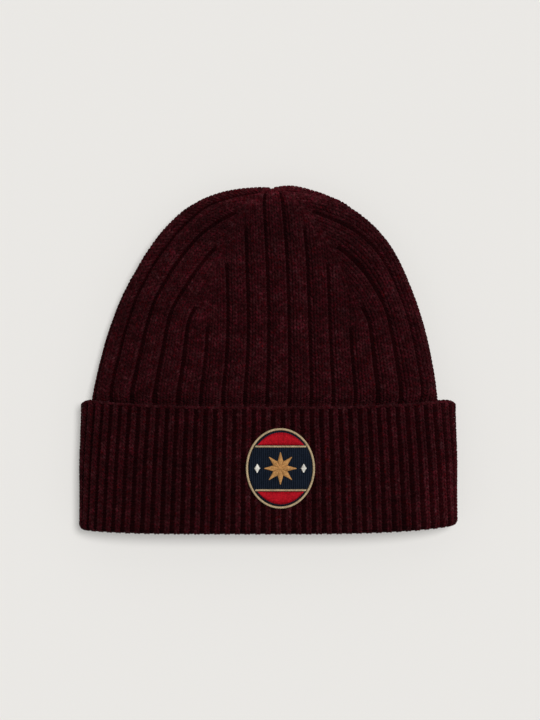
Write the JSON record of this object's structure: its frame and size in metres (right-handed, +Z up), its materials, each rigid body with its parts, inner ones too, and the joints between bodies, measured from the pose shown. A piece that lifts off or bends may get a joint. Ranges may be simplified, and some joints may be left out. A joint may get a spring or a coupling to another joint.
{
  "type": "beanie",
  "caption": "Rib-knit beanie with a turned-up cuff and an oval sewn-on badge, lying flat on its back.",
  "frame": {"origin": "middle of the underside of the whole hat, which lies on its back", "axes": "+X across the hat, to the right of someone who looks down at its front; +Y from the folded edge of the cuff to the crown top; +Z up from the surface it lies on, out of the front"},
  "size_m": [0.221, 0.201, 0.0357],
  "materials": {
    "crown_knit": "brushed wool-like heather knit, wide ribs",
    "cuff_knit": "brushed wool-like heather knit, narrow ribs",
    "badge_navy": "navy twill",
    "badge_beige": "beige embroidery thread",
    "badge_gold": "gold-brown satin stitch",
    "badge_red": "red fill stitch",
    "badge_white": "white satin stitch"
  },
  "bodies": {
    "root": {"crown": "crown_knit", "cuff": "cuff_knit", "badge_ground": "badge_navy", "badge_border": "badge_beige", "badge_star": "badge_gold", "badge_cap_upper": "badge_red", "badge_cap_lower": "badge_red", "badge_line_upper": "badge_beige", "badge_line_lower": "badge_beige", "badge_diamond_left": "badge_white", "badge_diamond_right": "badge_white"}
  },
  "joints": []
}
